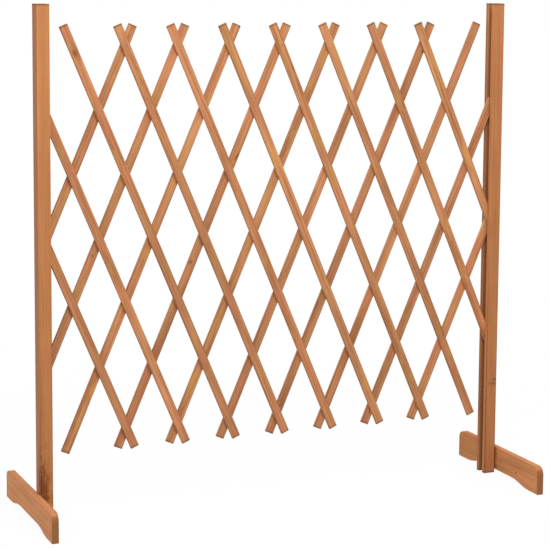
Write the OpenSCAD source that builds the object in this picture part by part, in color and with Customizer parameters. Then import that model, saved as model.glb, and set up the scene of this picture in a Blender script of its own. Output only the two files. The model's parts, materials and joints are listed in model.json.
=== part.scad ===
// Expanding lattice fence: two layers of slats pinned where they cross, between two grooved posts on feet.
// X runs along the fence, the viewer stands at -Y, Z is up, and the ground is Z = 0.

/* [Lattice] */
// Distance between neighbouring pivots along a slat
pivot_gap = 136; // [110:1:142]
// Lean of the slats from upright in the pose drawn
lean = 23.2; // [5:0.1:45]
// Width of a slat
slat_w = 17; // [10:0.5:22]
// Thickness of a slat
slat_t = 6; // [4:0.5:9]
// Length of a slat past its last pivot at a free end
slat_over = 42; // [20:1:55]
// Length of a slat past its last pivot inside a post
post_over = 8; // [5:0.5:12]
// Chamfer along the long edges of a slat
slat_ease = 0.8; // [0.2:0.1:1.5]
// Gap between the front slats and the back slats
layer_gap = 0.3; // [0.2:0.05:1]
// Height of the middle row of pivots
mid_z = 546; // [530:1:555]

/* [Pins] */
// Shank diameter of a crossing pin
pin_d = 2; // [1.4:0.1:3]
// Head diameter of a crossing pin
pin_head_d = 3.6; // [3:0.1:5]
// Head length of a crossing pin
pin_head_h = 1.2; // [0.6:0.1:2]
// Depth of a crossing pin's head below the back face
pin_sink = 0.3; // [0.1:0.1:0.8]
// Wood left in front of a crossing pin's tip
pin_cover = 1.5; // [0.5:0.1:2.5]
// Diameter of the pin across a post
post_pin_d = 4; // [3:0.1:6]
// Wood left in front of a post pin's tip
post_pin_cover = 4; // [2:0.5:6]
// Radial play of a slat on its pin
pin_clear = 0.05; // [0.02:0.01:0.1]

/* [Posts] */
// Height of a post's top above the ground
post_top = 1000; // [990:5:1100]
// Height of a post's lower end above the ground
post_lift = 2; // [0.5:0.5:8]
// Depth of a post from front to back
post_d = 34; // [30:1:45]
// Wood left between the groove's floor and the outer face
post_web = 5; // [4.5:0.5:10]
// Depth of the pivots behind a post's inner face
pivot_in = 7.5; // [5:0.5:10]
// Gap between a slat's end and the groove's floor
floor_clear = 0.7; // [0.4:0.1:2]
// Gap between a slat's face and the groove's wall
wall_clear = 0.6; // [0.4:0.1:1.5]
// Chamfer along the edges of a post
post_ease = 1.6; // [0.3:0.1:2.5]

/* [Feet] */
// Length of a foot
foot_len = 335; // [260:5:400]
// Height of a foot
foot_h = 57; // [50:1:80]
// Thickness of a foot
foot_t = 13; // [12.5:0.5:20]
// Radius of a foot's top corners
foot_round = 16; // [6:1:25]
// Chamfer round a foot's edges
foot_ease = 2.5; // [0.5:0.5:4]
// Length of the pad at each end of a foot
pad_len = 36; // [25:1:70]
// Height of the arch between the pads
arch_rise = 9.5; // [4:0.5:12]
// Length of the curve from a pad up into the arch
arch_blend = 70; // [20:1:80]
// Distance of a foot's middle from its post's middle
foot_shift = 27; // [0:1:40]

/* [Screws] */
// Shank diameter of a foot screw
screw_d = 3.5; // [3:0.1:4.5]
// Head diameter of a foot screw
screw_head_d = 7; // [5.5:0.1:8]
// Head length of a foot screw
screw_head_h = 2.2; // [1.5:0.1:3]
// Length of a foot screw in the foot
screw_bite = 10; // [6:0.5:10.5]
// Length of a foot screw's point
screw_point = 2.5; // [1:0.5:4]
// Width of the cross cut in a screw's head
recess_w = 1; // [0.6:0.1:1.4]
// Depth of the cross cut in a screw's head
recess_d = 1.2; // [0.6:0.1:1.4]
// Height of the lower screw above the ground
screw_z = 20; // [17:1:24]
// Distance between the two screws of a foot
screw_gap = 20; // [12:1:24]
// Radial play of a screw in the post's web
screw_clear = 0.1; // [0.05:0.05:0.4]

/* [Hidden] */
$fn = 48;
// Rows of pivots, the middle row held by the posts
rows = 7;
// Slat spacings from post to post
pitches = 9;
// Slats in each layer
slats = pitches + 1;
// Screws in each foot
foot_screws = 2;
// Steps of a rounded corner, and of each arc at an end of an arch
corner_steps = 10;
blend_steps = 6;
// Reach of every cut past the face that it opens
overrun = 1;
wood = "#c8824f";
steel = "#a9abad";

// Rows above or below the middle one
mid_row = (rows - 1) / 2;
// Half of the spacing of the slats, and the height of a row
half = pivot_gap * sin(lean);
rise = pivot_gap * cos(lean);
pivot_x = pitches * half;
front_y = -layer_gap / 2 - slat_t;
back_y = layer_gap / 2;

// Farthest corner of a slat's end from its pivot
end_reach = sqrt(pow(post_over, 2) + pow(slat_w / 2, 2));
groove_w = 2 * slat_t + layer_gap + 2 * wall_clear;
groove_depth = pivot_in + end_reach + floor_clear;
post_w = groove_depth + post_web;
inner_x = pivot_x - pivot_in;
floor_x = inner_x + groove_depth;
outer_x = inner_x + post_w;

pin_head_y = back_y + slat_t - pin_sink - pin_head_h;
pin_tip_y = front_y + pin_cover;
post_pin_y = post_pin_cover - post_d / 2;

pad_end = foot_len / 2 - pad_len;
blend_start = pad_end - arch_blend;
// Two equal arcs, tangent to each other, to the pad and to the arch
blend_r = (pow(arch_blend, 2) + pow(arch_rise, 2)) / (4 * arch_rise);
blend_turn = 2 * atan(arch_rise / arch_blend);

function numbered(stem) = [for (n = [1 : slats]) str(stem, n < 10 ? "_0" : "_", n)];
front_names = numbered("front_slat");
back_names = numbered("back_slat");
pin_names = numbered("pivot_pins");

// Rows count down from the middle one. Front slat i and back slat j cross in row j - i.
function front_first(i) = max(-mid_row, -2 * i);
function front_last(i) = min(mid_row, 2 * (pitches - i));
function back_first(j) = max(-mid_row, 2 * (j - pitches));
function back_last(j) = min(mid_row, 2 * j);
function over(in_post) = in_post ? post_over : slat_over;

// True where front slat i meets a back slat clear of the posts in this row
function crosses(i, row) =
    let (place = 2 * i + row, j = i + row)
    j >= 0 && j < slats && place > 0 && place < 2 * pitches;

// True where a slat's end is held by a post's pin
function on_post_pin(i) = i == 0 || i == pitches;

module eased_rect(w, d, ease) {
    polygon([
        [ease - w / 2, -d / 2], [w / 2 - ease, -d / 2], [w / 2, ease - d / 2], [w / 2, d / 2 - ease],
        [w / 2 - ease, d / 2], [ease - w / 2, d / 2], [-w / 2, d / 2 - ease], [-w / 2, ease - d / 2]]);
}

// A round bar along Y from one y to another
module bar_y(d, from, to) {
    translate([0, from, 0])
        rotate([-90, 0, 0])
            cylinder(d = d, h = to - from);
}

// A slat's blank, its thickness starting at Y = 0, with its middle row at the origin
module slat_blank(first, last, over_first, over_last) {
    length = (last - first) * pivot_gap + over_first + over_last;
    translate([0, slat_t / 2, -last * pivot_gap - over_last])
        linear_extrude(length)
            eased_rect(slat_w, slat_t, slat_ease);
}

module at_row(row) {
    translate([0, 0, -row * pivot_gap])
        children();
}

module on_front(i) {
    translate([(2 * i - pitches) * half, 0, mid_z])
        rotate([0, -lean, 0])
            children();
}

module on_back(j) {
    translate([(2 * j - pitches) * half, 0, mid_z])
        rotate([0, lean, 0])
            children();
}

module post_pin_hole(face_y) {
    bar_y(post_pin_d + 2 * pin_clear, face_y - overrun, face_y + slat_t + overrun);
}

module front_slat(i) {
    first = front_first(i);
    last = front_last(i);
    color(wood)
        on_front(i)
            difference() {
                translate([0, front_y, 0])
                    slat_blank(first, last, over(first == -2 * i), over(last == 2 * (pitches - i)));
                for (row = [first : last])
                    if (crosses(i, row))
                        at_row(row)
                            bar_y(pin_d, pin_tip_y, front_y + slat_t + overrun);
                if (on_post_pin(i))
                    post_pin_hole(front_y);
            }
}

module back_slat(j) {
    first = back_first(j);
    last = back_last(j);
    color(wood)
        on_back(j)
            difference() {
                translate([0, back_y, 0])
                    slat_blank(first, last, over(first == 2 * (j - pitches)), over(last == 2 * j));
                for (row = [first : last])
                    if (crosses(j - row, row))
                        at_row(row) {
                            bar_y(pin_d + 2 * pin_clear, back_y - overrun, back_y + slat_t + overrun);
                            bar_y(pin_head_d + 2 * pin_clear, pin_head_y - pin_clear, back_y + slat_t + overrun);
                        }
                if (on_post_pin(j))
                    post_pin_hole(back_y);
            }
}

module pivot_pins(i) {
    color(steel)
        on_front(i)
            for (row = [front_first(i) : front_last(i)])
                if (crosses(i, row))
                    at_row(row) {
                        bar_y(pin_d, pin_tip_y, pin_head_y);
                        bar_y(pin_head_d, pin_head_y, pin_head_y + pin_head_h);
                    }
}

// A bar along +X from the origin
module bar_x(d1, d2, length) {
    rotate([0, 90, 0])
        cylinder(d1 = d1, d2 = d2, h = length);
}

module at_screws() {
    for (n = [0 : foot_screws - 1])
        translate([floor_x, 0, screw_z + n * screw_gap])
            children();
}

// A countersunk screw whose head is flush at the origin
module screw() {
    bar_x(screw_head_d, screw_d, screw_head_h);
    bar_x(screw_d, screw_d, post_web + screw_bite - screw_point);
    translate([post_web + screw_bite - screw_point, 0, 0])
        bar_x(screw_d, 0, screw_point);
}

// A screw's way through a post's web, open past the groove's floor and the outer face
module screw_hole() {
    flare = overrun * (screw_head_d - screw_d) / screw_head_h;
    hole_d = screw_d + 2 * screw_clear;
    translate([-overrun, 0, 0])
        bar_x(screw_head_d + 2 * screw_clear + flare, hole_d, screw_head_h + overrun);
    bar_x(hole_d, hole_d, post_web + overrun);
}

module foot_screw() {
    difference() {
        screw();
        for (turn = [0, 90])
            rotate([turn, 0, 0])
                cube([2 * recess_d, recess_w, screw_head_d / 2 + recess_w], center = true);
    }
}

// A post's section, with its inner face along Y at X = 0
module post_section() {
    difference() {
        translate([post_w / 2, 0])
            eased_rect(post_w, post_d, post_ease);
        translate([-overrun, -groove_w / 2])
            square([groove_depth + overrun, groove_w]);
    }
}

module post() {
    difference() {
        translate([inner_x, 0, post_lift])
            linear_extrude(post_top - post_lift)
                post_section();
        translate([pivot_x, 0, mid_z])
            bar_y(post_pin_d, post_pin_y, post_d / 2 + overrun);
        at_screws()
            screw_hole();
    }
}

module post_pin() {
    translate([pivot_x, 0, mid_z])
        bar_y(post_pin_d, post_pin_y, post_d / 2);
}

function corner(side, inset) = [
    for (n = [0 : corner_steps])
        let (turn = 90 * (side > 0 ? n : corner_steps - n) / corner_steps)
        [side * (foot_len / 2 - foot_round + (foot_round - inset) * cos(turn)),
         foot_h - foot_round + (foot_round - inset) * sin(turn)]];

function board_outline(inset) = concat(
    [[inset - foot_len / 2, inset], [foot_len / 2 - inset, inset]],
    corner(1, inset), corner(-1, inset));

// A foot's board before its arch is cut, lying flat with its length along X
module board() {
    hull() {
        linear_extrude(foot_t)
            polygon(board_outline(foot_ease));
        translate([0, 0, foot_ease])
            linear_extrude(foot_t - 2 * foot_ease)
                polygon(board_outline(0));
    }
}

// One end of the arch, from the pad up to the level stretch
rise_curve = concat(
    [for (n = [0 : blend_steps])
        let (turn = blend_turn * n / blend_steps)
        [pad_end - blend_r * sin(turn), blend_r * (1 - cos(turn))]],
    [for (n = [1 : blend_steps])
        let (turn = blend_turn * (1 - n / blend_steps))
        [blend_start + blend_r * sin(turn), arch_rise - blend_r * (1 - cos(turn))]]);

function mirrored(points) = [for (n = [len(points) - 1 : -1 : 0]) [-points[n][0], points[n][1]]];

module arch() {
    polygon(concat([[pad_end, -overrun]], rise_curve, mirrored(rise_curve), [[-pad_end, -overrun]]));
}

module foot(shift) {
    difference() {
        translate([outer_x, shift, 0])
            rotate([90, 0, 90])
                difference() {
                    board();
                    translate([0, 0, -overrun])
                        linear_extrude(foot_t + 2 * overrun)
                            arch();
                }
        at_screws()
            screw();
    }
}

module left_post() { color(wood) mirror([1, 0, 0]) post(); }
module right_post() { color(wood) post(); }
module left_foot() { color(wood) mirror([1, 0, 0]) foot(foot_shift); }
module right_foot() { color(wood) foot(-foot_shift); }
module left_foot_screws() { color(steel) mirror([1, 0, 0]) at_screws() foot_screw(); }
module right_foot_screws() { color(steel) at_screws() foot_screw(); }
module left_pivot_pin() { color(steel) mirror([1, 0, 0]) post_pin(); }
module right_pivot_pin() { color(steel) post_pin(); }

left_post();
right_post();
left_foot();
right_foot();
left_foot_screws();
right_foot_screws();
left_pivot_pin();
right_pivot_pin();
for (i = [0 : slats - 1]) {
    front_slat(i);
    back_slat(i);
    pivot_pins(i);
}
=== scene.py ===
"""Dresses an expanding lattice fence: slats pinned as a scissor between grooved posts on feet."""

import json
import math
import random

import bmesh
import bpy
from bpy.props import FloatProperty, FloatVectorProperty, PointerProperty
from mathutils import Matrix, Vector


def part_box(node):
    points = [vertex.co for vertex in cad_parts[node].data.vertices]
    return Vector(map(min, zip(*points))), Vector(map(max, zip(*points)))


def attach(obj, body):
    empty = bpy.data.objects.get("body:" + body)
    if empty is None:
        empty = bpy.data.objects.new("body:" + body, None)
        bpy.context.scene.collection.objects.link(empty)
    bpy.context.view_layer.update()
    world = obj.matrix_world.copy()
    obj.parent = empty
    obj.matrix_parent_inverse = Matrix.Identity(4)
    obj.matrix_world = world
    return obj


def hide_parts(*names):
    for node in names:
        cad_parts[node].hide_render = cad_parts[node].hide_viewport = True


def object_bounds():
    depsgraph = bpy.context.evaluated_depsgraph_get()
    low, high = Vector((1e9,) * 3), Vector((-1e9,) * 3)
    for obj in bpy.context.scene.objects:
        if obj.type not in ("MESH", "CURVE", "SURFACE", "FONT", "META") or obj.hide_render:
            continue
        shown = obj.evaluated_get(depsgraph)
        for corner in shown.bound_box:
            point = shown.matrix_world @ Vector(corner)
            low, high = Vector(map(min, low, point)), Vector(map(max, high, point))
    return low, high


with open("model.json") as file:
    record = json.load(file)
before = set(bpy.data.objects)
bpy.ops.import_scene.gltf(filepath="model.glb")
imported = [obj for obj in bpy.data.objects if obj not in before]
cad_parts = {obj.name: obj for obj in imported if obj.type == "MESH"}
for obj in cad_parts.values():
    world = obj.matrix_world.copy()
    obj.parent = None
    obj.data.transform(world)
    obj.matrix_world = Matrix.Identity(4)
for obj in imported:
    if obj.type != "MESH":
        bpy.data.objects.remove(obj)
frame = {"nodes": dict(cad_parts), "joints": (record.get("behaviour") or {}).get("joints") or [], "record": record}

bl_info = {
    "name": "Expanding Lattice Fence",
    "version": (1, 0, 0),
    "blender": (4, 5, 0),
    "location": "View3D > Sidebar > Fence",
    "description": "Builds an expanding lattice fence of slats, posts, feet and fittings, and a studio",
    "category": "Object",
}

CAD_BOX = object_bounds()
SIDES = ("left", "right")
FRONT_SLATS = sorted(node for node in frame["nodes"] if node.startswith("front_slat"))
BACK_SLATS = sorted(node for node in frame["nodes"] if node.startswith("back_slat"))
STEEL_NODES = sorted(node for node in frame["nodes"] if "pin" in node or "screws" in node)

# Three pivots lie on the first front slat, so their line gives the lean of every slat
PIVOTS = {joint["name"]: Vector(joint["pos_m"]) for joint in frame["joints"]}
SLAT_RUN = PIVOTS["back_slat_04_pivot"] - PIVOTS["back_slat_02_pivot"]
LEAN = math.atan2(SLAT_RUN.x, -SLAT_RUN.z)

POST_INNER_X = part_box("left_post")[1].x
BODY_OF = {
    node: body
    for body, members in frame["record"]["behaviour"]["bodies"].items()
    for node in members
}

# When two places count as one, an edge as running along an axis, and a face as square to one or as level
CLOSE = 1e-5
PARALLEL = 0.999
FLAT = 0.9999
LEVEL = 0.9

DRILL_SIDES = 32

# Marks: knots and long dark marks in the wood, a dark patch low on the left post, and painted shade on the right
# foot in its corner by the post; where each lies in the frame, and its reach along the piece's own axes, in metres
NO_MARK = ((9.0, 9.0, 9.0), (0.01, 0.01, 0.01))
KNOTS = {
    "front_slat_03": ((-0.4226, -0.0062, 0.9070), (0.0042, 0.0042, 0.0070)),
    "front_slat_07": ((0.0023, -0.0062, 0.9181), (0.0012, 0.0012, 0.0014)),
    "back_slat_02": ((-0.3878, 0.0002, 0.5162), (0.0016, 0.0016, 0.0020)),
    "back_slat_04": ((-0.1872, 0.0002, 0.4932), (0.0034, 0.0034, 0.0030)),
    "back_slat_07": ((0.2800, 0.0002, 0.8060), (0.0015, 0.0015, 0.0024)),
    "back_slat_08": ((0.1905, 0.0002, 0.3722), (0.0012, 0.0012, 0.0018)),
    "right_post": ((0.4915, -0.0140, 0.1965), (0.0080, 0.0040, 0.0023)),
    "right_foot": ((0.4996, -0.1063, 0.0239), (0.0022, 0.0022, 0.0034)),
}
STREAKS_AND_SHADE = {
    "front_slat_09": ((0.2735, -0.0062, 0.7930), (0.0012, 0.0012, 0.0080)),
    "back_slat_04": ((-0.0890, 0.0002, 0.6985), (0.0038, 0.0038, 0.0090)),
    "back_slat_07": ((0.3204, 0.0002, 0.9033), (0.0028, 0.0028, 0.0050)),
    # A dark patch low on the left post, just above its foot
    "left_post": ((-0.4970, -0.0170, 0.0640), (0.0170, 0.0170, 0.0720)),
    "right_post": ((0.4965, -0.0140, 0.2050), (0.0070, 0.0040, 0.0022)),
    # Painted shade: the right foot darkened in its corner by the post
    "right_foot": ((0.4996, -0.0165, 0.0300), (0.0060, 0.0600, 0.0110)),
}

# How far pieces of a kind differ from each other, in shade and in warmth
TONE_SPREAD = {"slat_wood": (0.06, 0.05), "post_wood": (0.02, 0.01), "foot_wood": (0.02, 0.01)}

# How strongly the figure shows in each kind of piece
FIGURE = {"slat_wood": 1.0, "post_wood": 0.4, "foot_wood": 0.6}

# How the wood's figure is stretched: repeats in a metre across, through and along the grain
RING_STRETCH = (1.0, 1.0, 0.05)
RING_SCALE = 78.0
WANDER = (60.0, 60.0, 6.0)
FIBRES = (1000.0, 1000.0, 16.0)
PORES = (2600.0, 2600.0, 70.0)
FLECKS = (240.0, 240.0, 3.5)
PATCHES = (75.0, 75.0, 20.0)
CLOUDS = (45.0, 45.0, 8.0)
DRIFT = (6.0, 6.0, 1.6)
BREAKS = (40.0, 40.0, 14.0)
BLOTCHES = (150.0, 150.0, 60.0)

# How far a knot pushes the grain aside for each of its reaches, and the height of the grain, in metres
KNOT_PUSH = 0.0035
RELIEF = 0.0005

# How much paler the early wood of a sawn end is
PALER_END = 1.35

# Zinc plating, dull and bright, and the repeats of its clouds in a metre
ZINC_DULL = (0.42, 0.43, 0.44)
ZINC_BRIGHT = (0.63, 0.63, 0.61)
ZINC_CLOUDS = (700.0, 700.0, 700.0)

# The floor's shade as it lights the object and as it is seen
FLOOR_LIT = (0.38, 0.38, 0.38)
FLOOR_SEEN = (0.98, 0.98, 0.98)

# How white the floor is near the object, and how far off it turns wholly white, in metres
NEAR_WHITE = 0.93
FADE_START, FADE_END = 0.6, 1.6
WHITE = (1.0, 1.0, 1.0, 1.0)

SENSOR_WIDTH = 36.0


class SlatSizes(bpy.types.PropertyGroup):
    """Sizes of the slats that the frame's boxes don't give"""

    edge: FloatProperty(
        name="Edge", description="Rounding of the long edges", default=0.0009, unit="LENGTH")
    end_edge: FloatProperty(
        name="End edge", description="Rounding of the sawn ends", default=0.0004, unit="LENGTH")
    head_hole: FloatProperty(
        name="Head hole", description="Diameter of the hole over a pin's head",
        default=0.0037, unit="LENGTH")
    head_depth: FloatProperty(
        name="Head depth", description="Depth of the hole over a pin's head",
        default=0.0015, unit="LENGTH")


class PostSizes(bpy.types.PropertyGroup):
    """Sizes of the posts that the frame's boxes don't give"""

    groove_width: FloatProperty(
        name="Groove width", description="Width of the groove that holds the slats",
        default=0.0135, unit="LENGTH")
    web: FloatProperty(
        name="Web", description="Wood left behind the groove", default=0.005, unit="LENGTH")
    edge: FloatProperty(
        name="Edge", description="Rounding of the outer corners", default=0.0016, unit="LENGTH")
    rim: FloatProperty(
        name="Rim", description="Rounding of the groove's lips", default=0.0005, unit="LENGTH")
    screw_head: FloatProperty(
        name="Screw head", description="Diameter of a foot screw's head", default=0.007, unit="LENGTH")
    screw_sink: FloatProperty(
        name="Screw sink", description="Depth of a foot screw's countersink",
        default=0.0023, unit="LENGTH")
    screw_hole: FloatProperty(
        name="Screw hole", description="Diameter of a foot screw's hole", default=0.0037, unit="LENGTH")


class FootSizes(bpy.types.PropertyGroup):
    """Sizes of the feet that the frame's boxes don't give"""

    corner: FloatProperty(
        name="Corner", description="Radius of the top corners", default=0.016, unit="LENGTH")
    pad: FloatProperty(
        name="Pad", description="Length of the flat pad at each end", default=0.036, unit="LENGTH")
    arch: FloatProperty(
        name="Arch", description="Height of the arch between the pads", default=0.0095, unit="LENGTH")
    blend: FloatProperty(
        name="Blend", description="Length of the curve from a pad into the arch",
        default=0.070, unit="LENGTH")
    edge: FloatProperty(
        name="Edge", description="Rounding of the edges", default=0.0042, unit="LENGTH")


class WoodColours(bpy.types.PropertyGroup):
    """Colours of the stained wood, with tints of painted highlight and painted shade"""

    pale: FloatVectorProperty(
        name="Pale", description="Early wood between the rings", size=3, subtype="COLOR",
        default=(0.606, 0.274, 0.118))
    dark: FloatVectorProperty(
        name="Dark", description="Late wood of the rings", size=3, subtype="COLOR",
        default=(0.398, 0.150, 0.055))
    ruddy: FloatVectorProperty(
        name="Ruddy", description="Where the stain took more strongly", size=3, subtype="COLOR",
        default=(0.613, 0.206, 0.092))
    golden: FloatVectorProperty(
        name="Golden", description="Where the stain is a richer orange", size=3, subtype="COLOR",
        default=(0.585, 0.277, 0.070))
    knot: FloatVectorProperty(
        name="Knot", description="Heart of a knot or streak", size=3, subtype="COLOR",
        default=(0.205, 0.056, 0.007))
    end: FloatVectorProperty(
        name="End", description="Sawn end grain", size=3, subtype="COLOR",
        default=(0.290, 0.115, 0.036))
    slat_edge: FloatVectorProperty(
        name="Slat edge", description="The slats' long edges against their faces",
        size=3, subtype="COLOR", default=(0.84, 0.84, 0.84))
    # Painted highlight: the left post's edges lighter and redder
    left_post_edge: FloatVectorProperty(
        name="Left post edge", description="The left post's edges against its faces",
        size=3, subtype="COLOR", default=(1.07, 0.95, 1.00))
    # Painted shade: the right post's and the grooves' edges darker
    right_post_edge: FloatVectorProperty(
        name="Right post edge", description="The right post's and the grooves' edges against their faces",
        size=3, subtype="COLOR", default=(0.80, 0.78, 0.78))
    # Painted highlight: the feet's edges lighter and redder
    foot_edge: FloatVectorProperty(
        name="Foot edge", description="The feet's edges against their faces",
        size=3, subtype="COLOR", default=(1.08, 0.96, 1.00))
    left_post_tint: FloatVectorProperty(
        name="Left post tint", description="The left post's colour against the slats'",
        size=3, subtype="COLOR", default=(0.925, 0.815, 0.640))
    # The right post is tinted darker than the left
    right_post_tint: FloatVectorProperty(
        name="Right post tint", description="The right post's colour against the slats'",
        size=3, subtype="COLOR", default=(0.880, 0.750, 0.605))
    foot_tint: FloatVectorProperty(
        name="Foot tint", description="The feet's colour against the slats'",
        size=3, subtype="COLOR", default=(0.980, 0.900, 0.785))
    # Painted shade: the groove and one lip darkened as if shadowed
    groove_shade_tint: FloatVectorProperty(
        name="Groove tint", description="The colour of a groove and of one lip against the slats'",
        size=3, subtype="COLOR", default=(0.630, 0.565, 0.470))


class StudioSettings(bpy.types.PropertyGroup):
    """Camera, lamps and floor"""

    camera_place: FloatVectorProperty(
        name="Camera", description="Place of the camera", size=3, subtype="TRANSLATION",
        default=(-1.411, -3.327, 1.066))
    camera_turn: FloatProperty(
        name="Turn", description="Turn of the camera to the right",
        default=math.radians(22.87), subtype="ANGLE")
    camera_nod: FloatProperty(
        name="Nod", description="Tilt of the camera downwards",
        default=math.radians(6.98), subtype="ANGLE")
    camera_bank: FloatProperty(
        name="Bank", description="Roll of the camera", default=math.radians(0.407), subtype="ANGLE")
    lens: FloatProperty(
        name="Lens", description="Focal length", default=119.02, unit="CAMERA")
    shift: FloatProperty(
        name="Shift", description="Vertical shift of the lens, in frame widths", default=-0.15)
    floor_size: FloatProperty(
        name="Floor", description="Width of the floor", default=12.0, unit="LENGTH")
    sky_light: FloatProperty(
        name="Sky light", description="Strength of the light from all round", default=0.61)
    key_place: FloatVectorProperty(
        name="Key place", description="Place of the lamp above", size=3, subtype="TRANSLATION",
        default=(-0.2, -1.4, 2.4))
    key_size: FloatProperty(
        name="Key size", description="Width of the lamp above", default=1.0, unit="LENGTH")
    key_power: FloatProperty(
        name="Key power", description="Power of the lamp above", default=38.0, unit="POWER")
    fill_place: FloatVectorProperty(
        name="Fill place", description="Place of the lamp at the left", size=3, subtype="TRANSLATION",
        default=(-9.0, -1.5, 1.2))
    fill_size: FloatProperty(
        name="Fill size", description="Width of the lamp at the left", default=4.5, unit="LENGTH")
    fill_power: FloatProperty(
        name="Fill power", description="Power of the lamp at the left", default=330.0, unit="POWER")
    back_place: FloatVectorProperty(
        name="Back place", description="Place of the lamp behind", size=3, subtype="TRANSLATION",
        default=(5.0, 6.0, 1.6))
    back_size: FloatProperty(
        name="Back size", description="Width of the lamp behind", default=3.0, unit="LENGTH")
    back_power: FloatProperty(
        name="Back power", description="Power of the lamp behind", default=260.0, unit="POWER")


def add_node(tree, kind, inputs=None, **settings):
    """Adds a shader node, sets its properties, and fills its sockets with values or links."""
    node = tree.nodes.new(kind)
    for name, value in settings.items():
        setattr(node, name, value)
    for socket, value in (inputs or {}).items():
        if isinstance(value, bpy.types.NodeSocket):
            tree.links.new(value, node.inputs[socket])
        else:
            node.inputs[socket].default_value = value
    return node


def attribute(tree, name):
    return add_node(tree, "ShaderNodeAttribute", attribute_name=name).outputs["Vector"]


def stretched(tree, vector, scale):
    return add_node(tree, "ShaderNodeMapping", {"Vector": vector, "Scale": scale}).outputs["Vector"]


def noise(tree, vector, scale, detail, roughness=0.55):
    place = stretched(tree, vector, scale)
    inputs = {"Vector": place, "Scale": 1.0, "Detail": detail, "Roughness": roughness}
    return add_node(tree, "ShaderNodeTexNoise", inputs).outputs["Fac"]


def calc(tree, operation, first, second=0.0, third=0.0):
    inputs = {0: first, 1: second, 2: third}
    return add_node(tree, "ShaderNodeMath", inputs, operation=operation).outputs["Value"]


def eased(tree, value, low, high, start=0.0, end=1.0):
    """A value that passes smoothly from start to end as the input passes from low to high."""
    inputs = {"Value": value, "From Min": low, "From Max": high, "To Min": start, "To Max": end}
    node = add_node(tree, "ShaderNodeMapRange", inputs, interpolation_type="SMOOTHSTEP")
    return node.outputs["Result"]


def mixed(tree, share, first, second, blend="MIX"):
    """Mixes two colours, each a colour or a socket."""
    node = add_node(tree, "ShaderNodeMix", {0: share}, data_type="RGBA", blend_type=blend)
    for socket, value in zip((node.inputs[6], node.inputs[7]), (first, second)):
        if isinstance(value, bpy.types.NodeSocket):
            tree.links.new(value, socket)
        else:
            socket.default_value = (*value, 1.0)
    return node.outputs[2]


def new_material(name):
    material = bpy.data.materials.new(name)
    material.use_nodes = True
    material.node_tree.nodes.clear()
    return material


def surface(tree, inputs):
    shader = add_node(tree, "ShaderNodeBsdfPrincipled", inputs)
    add_node(tree, "ShaderNodeOutputMaterial", {"Surface": shader.outputs["BSDF"]})


def length_of(tree, vector):
    return add_node(tree, "ShaderNodeVectorMath", {0: vector}, operation="LENGTH").outputs["Value"]


def vectors(tree, operation, first, second):
    node = add_node(tree, "ShaderNodeVectorMath", {0: first, 1: second}, operation=operation)
    return node.outputs["Vector"]


def parts_of(tree, vector):
    return add_node(tree, "ShaderNodeSeparateXYZ", {"Vector": vector}).outputs


def grey(tree, value):
    inputs = {"Red": value, "Green": value, "Blue": value}
    return add_node(tree, "ShaderNodeCombineColor", inputs).outputs["Color"]


def distance_in(tree):
    """Distance of a point from its piece's faces, across, through and along it."""
    place = add_node(tree, "ShaderNodeVectorMath", {0: attribute(tree, "place")}, operation="ABSOLUTE")
    return vectors(tree, "SUBTRACT", attribute(tree, "half_size"), place.outputs["Vector"])


def faces_along(tree):
    """How far a surface faces along the grain: one on a sawn end, nought on a long face."""
    normal = add_node(tree, "ShaderNodeTexCoord").outputs["Normal"]
    inputs = {0: normal, 1: attribute(tree, "grain_axis")}
    share = add_node(tree, "ShaderNodeVectorMath", inputs, operation="DOT_PRODUCT")
    return calc(tree, "ABSOLUTE", share.outputs["Value"])


def parted_grain(tree, reach):
    """The piece's grain, pushed aside round a knot."""
    push = eased(tree, reach, low=0.6, high=4.0, start=KNOT_PUSH, end=0.0)
    inputs = {0: attribute(tree, "knot"), "Scale": push}
    aside = add_node(tree, "ShaderNodeVectorMath", inputs, operation="SCALE")
    return vectors(tree, "SUBTRACT", attribute(tree, "grain"), aside.outputs["Vector"])


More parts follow.
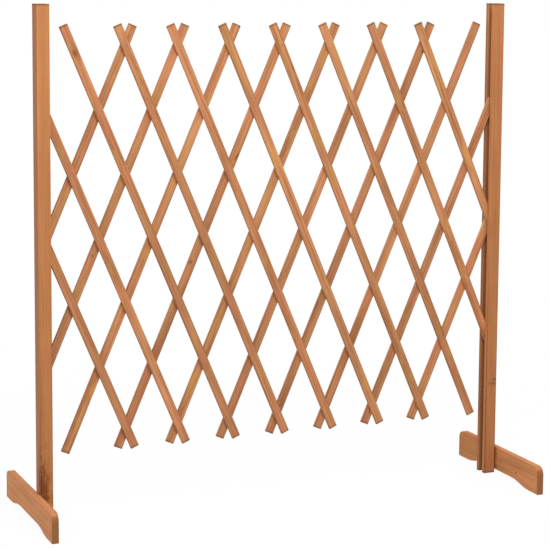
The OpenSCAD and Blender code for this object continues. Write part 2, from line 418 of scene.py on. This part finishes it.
def stained_wood(name, colours, tint, edge_tint, figure):
    """Softwood under an orange-brown stain, with a figure laid out by the piece's own grain."""

    # For the groove's material the tint is painted shade
    def stain(colour):
        return tuple(channel * share for channel, share in zip(colour, tint))

    material = new_material(name)
    tree = material.node_tree
    knot_reach = length_of(tree, attribute(tree, "knot"))
    streak_and_shade_reach = length_of(tree, attribute(tree, "streak_and_shade"))
    tone = parts_of(tree, attribute(tree, "tone"))
    grain = parted_grain(tree, knot_reach)

    ring_inputs = {
        "Vector": stretched(tree, grain, RING_STRETCH), "Scale": RING_SCALE, "Distortion": 5.0,
        "Detail": 3.0, "Detail Scale": 0.5, "Detail Roughness": 0.6}
    rings = add_node(
        tree, "ShaderNodeTexWave", ring_inputs,
        wave_type="RINGS", rings_direction="Z", wave_profile="SAW").outputs["Fac"]
    wander = noise(tree, grain, WANDER, detail=2.0)
    fibres = noise(tree, grain, FIBRES, detail=4.0, roughness=0.6)
    pores = noise(tree, grain, PORES, detail=2.0)
    flecks = noise(tree, grain, FLECKS, detail=3.0)
    patches = calc(tree, "ADD", noise(tree, grain, PATCHES, detail=3.0), tone["Y"])
    clouds = noise(tree, grain, CLOUDS, detail=3.0)
    drift = noise(tree, grain, DRIFT, detail=2.0)

    # Early and late wood, and patches where the stain came out redder or yellower
    strength = eased(tree, wander, 0.35, 0.68, 0.10, 0.75)
    late = calc(tree, "MULTIPLY", eased(tree, rings, 0.30, 1.0), strength)
    late = calc(tree, "ADD", late, eased(tree, flecks, 0.40, 0.66, 0.0, 0.75))
    redder = eased(tree, patches, 0.49, 0.62, 0.0, 0.45 * figure)
    yellower = eased(tree, patches, 0.48, 0.37, 0.0, 0.55 * figure)
    colour = mixed(tree, calc(tree, "MULTIPLY", late, figure), stain(colours.pale), stain(colours.dark))
    colour = mixed(tree, redder, colour, stain(colours.ruddy))
    colour = mixed(tree, yellower, colour, stain(colours.golden))

    # Fibres, slow changes along the piece, clouds across it and open pores lighten or darken it
    shade = calc(tree, "MULTIPLY", eased(tree, fibres, 0.25, 0.75, 0.82, 1.14), tone["X"])
    shade = calc(tree, "MULTIPLY", shade, eased(tree, drift, 0.3, 0.7, 0.90, 1.10))
    shade = calc(tree, "MULTIPLY", shade, eased(tree, clouds, 0.3, 0.7, 0.88, 1.12))
    shade = calc(tree, "MULTIPLY", shade, eased(tree, pores, 0.62, 0.80, 1.0, 0.80))
    shade = calc(tree, "MULTIPLY_ADD", shade, figure, 1.0 - figure)

    # The stain comes out darker close to a sawn end, and along the edges a tint goes in broken lines: painted
    # highlight on the left post's and feet's edges, painted shade on the right post's and grooves' edges, a darker
    # line on the slats'
    gaps = parts_of(tree, distance_in(tree))
    shade = calc(tree, "MULTIPLY", shade, eased(tree, gaps["Z"], 0.0010, 0.0050, 0.50, 1.0))
    colour = mixed(tree, 1.0, colour, grey(tree, shade), "MULTIPLY")
    across = add_node(tree, "ShaderNodeCombineXYZ", {"X": gaps["X"], "Y": gaps["Y"]})
    edge = length_of(tree, across.outputs["Vector"])
    broken = eased(tree, noise(tree, grain, BREAKS, detail=2.0), 0.30, 0.55, 0.35, 1.0)
    rim = calc(tree, "MULTIPLY", eased(tree, edge, 0.0005, 0.0024, 1.0, 0.0), broken)
    colour = mixed(tree, rim, colour, tuple(edge_tint), "MULTIPLY")

    # Streaks, the dark patch on the left post and the painted shade on the right foot have ragged outlines, and
    # knots a dark heart in a wider shadow
    blotches = noise(tree, grain, BLOTCHES, detail=4.0, roughness=0.65)
    ragged = calc(tree, "ADD", streak_and_shade_reach, eased(tree, blotches, 0.25, 0.75, -0.5, 0.5))
    colour = mixed(tree, eased(tree, ragged, 0.1, 1.4, 0.95, 0.0), colour, stain(colours.knot))
    colour = mixed(tree, eased(tree, knot_reach, 0.7, 3.0, 0.65, 0.0), colour, stain(colours.dark))
    colour = mixed(tree, eased(tree, knot_reach, 0.3, 1.3, 0.75, 0.0), colour, stain(colours.knot))

    # Sawn ends, and rounded corners that turn towards them, have drunk more stain
    end_pale = tuple(PALER_END * channel for channel in colours.end)
    end = mixed(tree, eased(tree, rings, 0.2, 1.0), end_pale, tuple(colours.end))
    end = mixed(tree, eased(tree, pores, 0.5, 0.8, 0.0, 0.6), end, tuple(colours.knot))
    colour = mixed(tree, eased(tree, faces_along(tree), 0.60, 0.95), colour, end)

    relief = calc(
        tree, "ADD", calc(tree, "MULTIPLY", fibres, 0.6), calc(tree, "MULTIPLY", rings, 0.25))
    relief = calc(tree, "SUBTRACT", relief, eased(tree, pores, 0.6, 0.8, 0.0, 0.5))
    bump = add_node(tree, "ShaderNodeBump", {"Height": relief, "Strength": 0.3, "Distance": RELIEF})
    surface(tree, {
        "Base Color": colour, "Roughness": eased(tree, fibres, 0.2, 0.8, 0.62, 0.76),
        "Specular IOR Level": 0.30, "Normal": bump.outputs["Normal"]})
    return material


def zinc_plate(name):
    """Zinc-plated steel, faintly clouded."""
    material = new_material(name)
    tree = material.node_tree
    place = add_node(tree, "ShaderNodeTexCoord").outputs["Object"]
    cloud = noise(tree, place, ZINC_CLOUDS, detail=4.0)
    colour = mixed(tree, eased(tree, cloud, 0.35, 0.7), ZINC_DULL, ZINC_BRIGHT)
    roughness = eased(tree, cloud, 0.3, 0.7, 0.28, 0.45)
    surface(tree, {"Base Color": colour, "Metallic": 1.0, "Roughness": roughness})
    return material


def new_piece(bm, name, materials):
    """Links a bmesh as a new object with the given materials."""
    mesh = bpy.data.meshes.new(name)
    bm.to_mesh(mesh)
    bm.free()
    for material in materials:
        mesh.materials.append(material)
    piece = bpy.data.objects.new(name, mesh)
    bpy.context.scene.collection.objects.link(piece)
    return piece


def cut_holes(piece, cutters):
    """Cuts the shapes of a bmesh out of a piece."""
    tool = new_piece(cutters, piece.name + "_cutter", [])
    carve = piece.modifiers.new("holes", "BOOLEAN")
    carve.object = tool
    carve.operation = "DIFFERENCE"
    carve.solver = "EXACT"
    bpy.context.view_layer.update()
    graph = bpy.context.evaluated_depsgraph_get()
    carved = bpy.data.meshes.new_from_object(piece.evaluated_get(graph))
    piece.modifiers.clear()
    piece.data = carved
    bpy.data.objects.remove(tool)


def add_drill(cutters, place, axis_turn, near, far, depth):
    """Adds a round cutter to a bmesh, from the place along the turned Z axis, with a radius at each end."""
    matrix = Matrix.Translation(place) @ axis_turn @ Matrix.Translation((0, 0, depth / 2))
    bmesh.ops.create_cone(
        cutters, cap_ends=True, segments=DRILL_SIDES, radius1=near, radius2=far, depth=depth,
        matrix=matrix)


def bevel_edges(bm, edges, width, segments):
    bmesh.ops.bevel(
        bm, geom=list(edges), offset=width, offset_type="OFFSET", affect="EDGES", segments=segments,
        profile=0.5, material=-1, clamp_overlap=True)


def along(edge, axis):
    """True where an edge runs along a local axis."""
    run = edge.verts[1].co - edge.verts[0].co
    return abs(run.normalized()[axis]) > PARALLEL


def new_verts(extruded):
    return [part for part in extruded["geom"] if isinstance(part, bmesh.types.BMVert)]


def mark_grain(piece, node, place, half_size, slot):
    """Stores on each vertex where it lies in the wood, in the piece's own axes and in metres."""
    # Each piece is cut from a stretch of wood of its own, a little askew, and has a tone of its own
    dice = random.Random(node)
    start = Vector((dice.uniform(-0.05, 0.05), dice.uniform(0.02, 0.08), dice.uniform(0.0, 40.0)))
    slope = Vector((dice.uniform(-0.012, 0.012), dice.uniform(-0.015, 0.015), 0.0))
    shade, warmth = TONE_SPREAD[slot]
    tone = Vector((1.0 + dice.uniform(-shade, shade), dice.uniform(-warmth, warmth), 0.0))
    grain_axis = place.col[2].xyz
    marks = {}
    for name, listed in (("knot", KNOTS), ("streak_and_shade", STREAKS_AND_SHADE)):
        spot, reach = listed.get(node, NO_MARK)
        marks[name] = (place.inverted() @ Vector(spot), Vector([1.0 / length for length in reach]))

    # All are made before any is filled, because adding one moves the others' data
    attributes = piece.data.attributes
    names = [
        attributes.new(name, "FLOAT_VECTOR", "POINT").name
        for name in ("grain", "place", "half_size", "tone", "grain_axis", "knot", "streak_and_shade")]
    named = {name: attributes[name].data for name in names}
    for vertex in piece.data.vertices:
        spot = vertex.co
        named["grain"][vertex.index].vector = spot + start + slope * spot.z
        named["place"][vertex.index].vector = spot
        named["half_size"][vertex.index].vector = half_size
        named["tone"][vertex.index].vector = tone
        named["grain_axis"][vertex.index].vector = grain_axis
        for name, (heart, scale) in marks.items():
            named[name][vertex.index].vector = (spot - heart) * scale


def finish_wood(piece, node, place, half_size, slot):
    """Marks a piece's grain, lays it in its place and lets it stand for its node."""
    mark_grain(piece, node, place, half_size, slot)
    for face in piece.data.polygons:
        face.use_smooth = max(abs(direction) for direction in face.normal) < FLAT
    piece.data.transform(place)
    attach(piece, BODY_OF[node])
    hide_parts(node)


def slat_layout(node, lean):
    """Place and size of a slat, worked out from its box in the frame and its lean."""
    low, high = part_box(node)
    size = high - low
    spread = math.cos(2 * lean)
    length = (size.z * math.cos(lean) - size.x * abs(math.sin(lean))) / spread
    width = (size.x * math.cos(lean) - size.z * abs(math.sin(lean))) / spread
    place = Matrix.Translation((low + high) / 2) @ Matrix.Rotation(lean, 4, "Y")
    return place, Vector((width, size.y, length))


def crossing(front, back):
    """Where the middle lines of a front and a back slat meet between the posts, or None."""
    (front_place, front_size), (back_place, back_size) = front, back
    start, back_start = front_place.translation, back_place.translation
    run, back_run = front_place.col[2].xyz, back_place.col[2].xyz
    gap = back_start - start
    turn = run.x * back_run.z - run.z * back_run.x
    reach = (gap.x * back_run.z - gap.z * back_run.x) / turn
    back_reach = (gap.x * run.z - gap.z * run.x) / turn
    meet = start + reach * run
    inside = abs(reach) < front_size.z / 2 and abs(back_reach) < back_size.z / 2
    return meet if inside and abs(meet.x) < abs(POST_INNER_X) else None


def make_slat(node, size, materials, sizes):
    """A planed slat with rounded edges and sawn ends, in its own axes."""
    bm = bmesh.new()
    bmesh.ops.create_cube(bm, size=1.0, matrix=Matrix.Diagonal((*size, 1.0)))
    bevel_edges(bm, [edge for edge in bm.edges if along(edge, 2)], sizes.edge, segments=3)
    bevel_edges(bm, [edge for edge in bm.edges if not along(edge, 2)], sizes.end_edge, segments=1)
    return new_piece(bm, node.replace("_slat", "_slat_wood"), materials)


def head_drills(place, size, meets, sizes):
    """Cutters over the pins' heads in a back slat, in the slat's own axes."""
    holes = bmesh.new()
    inward = Matrix.Rotation(math.radians(-90), 4, "X")
    radius = sizes.head_hole / 2
    for meet in meets:
        spot = place.inverted() @ meet
        spot.y = size.y / 2 - sizes.head_depth
        add_drill(holes, spot, inward, radius, radius, 2 * sizes.head_depth)
    return holes


class FENCE_OT_slats(bpy.types.Operator):
    """Make the front and back slats, with holes over the pins' heads in the back ones"""

    bl_idname = "fence.make_slats"
    bl_label = "Make Slats"

    def execute(self, context):
        sizes = context.scene.fence_slats
        colours = context.scene.fence_wood
        untinted, figure = (1.0, 1.0, 1.0), FIGURE["slat_wood"]
        materials = [stained_wood("slat_stain", colours, untinted, colours.slat_edge, figure)]
        fronts = {node: slat_layout(node, -LEAN) for node in FRONT_SLATS}
        backs = {node: slat_layout(node, LEAN) for node in BACK_SLATS}
        for node, (place, size) in {**fronts, **backs}.items():
            piece = make_slat(node, size, materials, sizes)
            if node in backs:
                meets = filter(None, [crossing(front, backs[node]) for front in fronts.values()])
                cut_holes(piece, head_drills(place, size, meets, sizes))
            finish_wood(piece, node, place, size / 2, "slat_wood")
        return {"FINISHED"}


def post_drills(side, place, floor_x, sizes):
    """Cutters for a post's pivot pin and its two foot screws, in the post's own axes."""
    holes = bmesh.new()
    low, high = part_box(side + "_pivot_pin")
    pin = place.inverted() @ ((low + high) / 2)
    radius = (high.x - low.x) / 2
    length = high.y - low.y
    # The right post is turned about, so its own +Y points to the front
    back = 1.0 if side == "left" else -1.0
    pin.y -= back * length / 2
    towards_back = Matrix.Rotation(math.radians(-90 * back), 4, "X")
    add_drill(holes, pin, towards_back, radius, radius, 2 * length)

    low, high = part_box(side + "_foot_screws")
    head, hole = sizes.screw_head / 2, sizes.screw_hole / 2
    outward = Matrix.Rotation(math.radians(-90), 4, "Y")
    for height in (low.z + head, high.z - head):
        spot = Vector((floor_x, 0.0, height - place.translation.z))
        add_drill(holes, spot, outward, head, hole, sizes.screw_sink)
        add_drill(holes, spot, outward, hole, hole, 2 * sizes.web)
    return holes


def make_post(side, half, floor_x, lip, materials, sizes):
    """A square post in its own axes, with its groove open towards +X."""
    outline = (
        (-half.x, -half.y), (half.x, -half.y), (half.x, -lip), (floor_x, -lip),
        (floor_x, lip), (half.x, lip), (half.x, half.y), (-half.x, half.y))
    bm = bmesh.new()
    base = bm.faces.new([bm.verts.new((x, y, -half.z)) for x, y in outline])
    top = bmesh.ops.extrude_face_region(bm, geom=[base])
    bmesh.ops.translate(bm, vec=(0, 0, 2 * half.z), verts=new_verts(top))
    bmesh.ops.recalc_face_normals(bm, faces=bm.faces[:])
    uprights = [edge for edge in bm.edges if along(edge, 2)]
    outer = [edge for edge in uprights if abs(abs(edge.verts[0].co.y) - half.y) < CLOSE]
    bevel_edges(bm, outer, sizes.edge, segments=3)
    mouth = [
        edge for edge in bm.edges
        if along(edge, 2) and abs(edge.verts[0].co.x - half.x) < CLOSE
        and abs(abs(edge.verts[0].co.y) - lip) < CLOSE]
    bevel_edges(bm, mouth, sizes.rim, segments=2)
    return new_piece(bm, side + "_post_wood", materials)


def paint_groove_shade(piece, half, lip):
    """Gives the second material, which carries painted shade, to a post's groove and its lip at -Y: the left's
    front, the right's back.
    """
    for face in piece.data.polygons:
        # Painted shade: the groove and this lip are darkened as if shadowed
        upright = abs(face.normal.z) < LEVEL
        in_groove = abs(face.center.y) < lip + CLOSE
        shaded_lip = face.center.x > half.x - CLOSE and face.center.y < 0
        if upright and (in_groove or shaded_lip):
            face.material_index = 1


class FENCE_OT_posts(bpy.types.Operator):
    """Make the two grooved posts"""

    bl_idname = "fence.make_posts"
    bl_label = "Make Posts"

    def execute(self, context):
        sizes = context.scene.fence_posts
        colours = context.scene.fence_wood
        # The left post's edges get a painted highlight, the right post's painted shade
        looks = {
            "left_post": (colours.left_post_tint, colours.left_post_edge),
            "right_post": (colours.right_post_tint, colours.right_post_edge)}
        figure = FIGURE["post_wood"]
        # The groove's material is darkened by painted shade, in its tint and at its edges
        groove = stained_wood(
            "groove_painted_shade", colours, colours.groove_shade_tint, colours.right_post_edge, figure)
        for side in SIDES:
            node = side + "_post"
            materials = [stained_wood(node + "_stain", colours, *looks[node], figure), groove]
            low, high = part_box(node)
            half = (high - low) / 2
            turn = Matrix.Rotation(0.0 if side == "left" else math.pi, 4, "Z")
            place = Matrix.Translation((low + high) / 2) @ turn
            floor_x = sizes.web - half.x
            lip = sizes.groove_width / 2
            piece = make_post(side, half, floor_x, lip, materials, sizes)
            cut_holes(piece, post_drills(side, place, floor_x, sizes))
            paint_groove_shade(piece, half, lip)
            finish_wood(piece, node, place, half, "post_wood")
        return {"FINISHED"}


def make_foot(side, half, materials, sizes):
    """A board with an arched underside and rounded top corners, in its own axes, lengthwise on Z."""
    # The arcs of an arch's end meet halfway, so each takes half of the slope between its corners
    reach = (sizes.blend ** 2 + sizes.arch ** 2) / (4 * sizes.blend)
    pad_end = half.z - sizes.pad
    base, crown = -half.y, sizes.arch - half.y
    slope_low, slope_high = pad_end - reach, pad_end - sizes.blend + reach
    outline = (
        (-half.z, base), (-slope_low, base), (-slope_high, crown), (slope_high, crown),
        (slope_low, base), (half.z, base), (half.z, half.y), (-half.z, half.y))
    bm = bmesh.new()
    corners = [bm.verts.new((-half.x, y, z)) for z, y in outline]
    bm.faces.new(corners)
    for verts, offset, segments in ((corners[6:8], sizes.corner, 10), (corners[1:5], reach, 8)):
        bmesh.ops.bevel(
            bm, geom=verts, offset=offset, offset_type="OFFSET", affect="VERTICES", segments=segments,
            profile=0.5, material=-1)
    far = bmesh.ops.extrude_face_region(bm, geom=bm.faces[:])
    bmesh.ops.translate(bm, vec=(2 * half.x, 0, 0), verts=new_verts(far))
    bmesh.ops.recalc_face_normals(bm, faces=bm.faces[:])
    bevel_edges(bm, [edge for edge in bm.edges if not along(edge, 0)], sizes.edge, segments=4)
    return new_piece(bm, side + "_foot_wood", materials)


class FENCE_OT_feet(bpy.types.Operator):
    """Make the two arched feet"""

    bl_idname = "fence.make_feet"
    bl_label = "Make Feet"

    def execute(self, context):
        sizes = context.scene.fence_feet
        colours = context.scene.fence_wood
        figure = FIGURE["foot_wood"]
        # The feet's edges get a painted highlight
        materials = [stained_wood("foot_stain", colours, colours.foot_tint, colours.foot_edge, figure)]
        on_edge = Matrix.Rotation(math.radians(90), 4, "X")
        for side in SIDES:
            node = side + "_foot"
            low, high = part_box(node)
            size = high - low
            half = Vector((size.x, size.z, size.y)) / 2
            place = Matrix.Translation((low + high) / 2) @ on_edge
            piece = make_foot(side, half, materials, sizes)
            finish_wood(piece, node, place, half, "foot_wood")
        return {"FINISHED"}


class FENCE_OT_fittings(bpy.types.Operator):
    """Give the pins and screws their zinc plating"""

    bl_idname = "fence.finish_fittings"
    bl_label = "Finish Fittings"

    def execute(self, context):
        zinc = zinc_plate("zinc_plate")
        for node in STEEL_NODES:
            fitting = frame["nodes"][node]
            fitting.data.materials.clear()
            fitting.data.materials.append(zinc)
        return {"FINISHED"}


def white_rays(tree):
    """One where the camera sees a surface, straight, mirrored or through glass, and nought elsewhere."""
    rays = add_node(tree, "ShaderNodeLightPath").outputs
    seen = calc(tree, "MAXIMUM", rays["Is Camera Ray"], rays["Is Glossy Ray"])
    return calc(tree, "MAXIMUM", seen, rays["Is Transmission Ray"])


def pale_floor():
    """A matt floor that lights the object as grey, and is seen as nearly white, or as white further off."""
    material = new_material("pale_floor")
    tree = material.node_tree
    seen = white_rays(tree)
    matt = add_node(tree, "ShaderNodeBsdfDiffuse", {"Color": mixed(tree, seen, FLOOR_LIT, FLOOR_SEEN)})
    white = add_node(tree, "ShaderNodeEmission", {"Color": WHITE, "Strength": 1.0})
    away = length_of(tree, add_node(tree, "ShaderNodeTexCoord").outputs["Object"])
    share = calc(tree, "MULTIPLY", seen, eased(tree, away, FADE_START, FADE_END, NEAR_WHITE, 1.0))
    mix = add_node(tree, "ShaderNodeMixShader", {0: share, 1: matt.outputs[0], 2: white.outputs[0]})
    add_node(tree, "ShaderNodeOutputMaterial", {"Surface": mix.outputs[0]})
    return material


def white_sky(strength):
    """Even light from all round, which the camera sees as white."""
    world = bpy.data.worlds.new("white_sky")
    world.use_nodes = True
    tree = world.node_tree
    tree.nodes.clear()
    light = add_node(tree, "ShaderNodeBackground", {"Color": WHITE, "Strength": strength})
    white = add_node(tree, "ShaderNodeBackground", {"Color": WHITE, "Strength": 1.0})
    seen = white_rays(tree)
    mix = add_node(tree, "ShaderNodeMixShader", {0: seen, 1: light.outputs[0], 2: white.outputs[0]})
    add_node(tree, "ShaderNodeOutputWorld", {"Surface": mix.outputs[0]})
    return world


def add_lamp(name, place, target, size, power, glossy=True):
    """Adds a square lamp that shines at the target, with or without its reflection in gloss."""
    lamp = bpy.data.lights.new(name, "AREA")
    lamp.shape = "SQUARE"
    lamp.size = size
    lamp.energy = power
    holder = bpy.data.objects.new(name, lamp)
    bpy.context.scene.collection.objects.link(holder)
    holder.location = place
    holder.visible_glossy = glossy
    holder.rotation_mode = "QUATERNION"
    holder.rotation_quaternion = (Vector(target) - Vector(place)).to_track_quat("-Z", "Y")


class FENCE_OT_studio(bpy.types.Operator):
    """Make the floor, the lamps and the camera"""

    bl_idname = "fence.make_studio"
    bl_label = "Make Studio"

    def execute(self, context):
        scene = context.scene
        settings = scene.fence_studio
        bm = bmesh.new()
        bmesh.ops.create_grid(bm, x_segments=1, y_segments=1, size=settings.floor_size / 2)
        new_piece(bm, "floor", [pale_floor()])
        scene.world = white_sky(settings.sky_light)
        scene.view_settings.view_transform = "Standard"

        middle = (CAD_BOX[0] + CAD_BOX[1]) / 2
        add_lamp("key_lamp", settings.key_place, middle, settings.key_size, settings.key_power)
        add_lamp("fill_lamp", settings.fill_place, middle, settings.fill_size, settings.fill_power)
        add_lamp(
            "back_lamp", settings.back_place, middle, settings.back_size, settings.back_power,
            glossy=False)

        camera = bpy.data.objects.new("camera", bpy.data.cameras.new("camera"))
        scene.collection.objects.link(camera)
        camera.data.lens = settings.lens
        camera.data.sensor_width = SENSOR_WIDTH
        camera.data.shift_y = settings.shift
        turn = Matrix.Rotation(-settings.camera_turn, 4, "Z")
        nod = Matrix.Rotation(math.radians(90) - settings.camera_nod, 4, "X")
        bank = Matrix.Rotation(settings.camera_bank, 4, "Z")
        camera.matrix_world = Matrix.Translation(settings.camera_place) @ turn @ nod @ bank
        scene.camera = camera
        return {"FINISHED"}


class FENCE_PT_panel(bpy.types.Panel):
    """Lists the steps and their sizes in the sidebar"""

    bl_label = "Lattice Fence"
    bl_idname = "FENCE_PT_panel"
    bl_space_type = "VIEW_3D"
    bl_region_type = "UI"
    bl_category = "Fence"

    def draw(self, context):
        for operator in OPERATORS:
            self.layout.operator(operator.bl_idname)
        for name in SETTINGS:
            group = getattr(context.scene, name)
            box = self.layout.box()
            for prop in group.bl_rna.properties:
                if not prop.is_readonly and prop.identifier != "name":
                    box.prop(group, prop.identifier)


SETTINGS = {
    "fence_slats": SlatSizes,
    "fence_posts": PostSizes,
    "fence_feet": FootSizes,
    "fence_wood": WoodColours,
    "fence_studio": StudioSettings,
}
OPERATORS = (FENCE_OT_studio, FENCE_OT_slats, FENCE_OT_posts, FENCE_OT_feet, FENCE_OT_fittings)


def register():
    for cls in (*SETTINGS.values(), *OPERATORS, FENCE_PT_panel):
        bpy.utils.register_class(cls)
    for name, group in SETTINGS.items():
        setattr(bpy.types.Scene, name, PointerProperty(type=group))


def unregister():
    for name in SETTINGS:
        delattr(bpy.types.Scene, name)
    for cls in reversed((*SETTINGS.values(), *OPERATORS, FENCE_PT_panel)):
        bpy.utils.unregister_class(cls)


def main():
    register()
    bpy.ops.fence.make_studio()
    bpy.ops.fence.make_slats()
    bpy.ops.fence.make_posts()
    bpy.ops.fence.make_feet()
    bpy.ops.fence.finish_fittings()


if __name__ == "__main__":
    main()
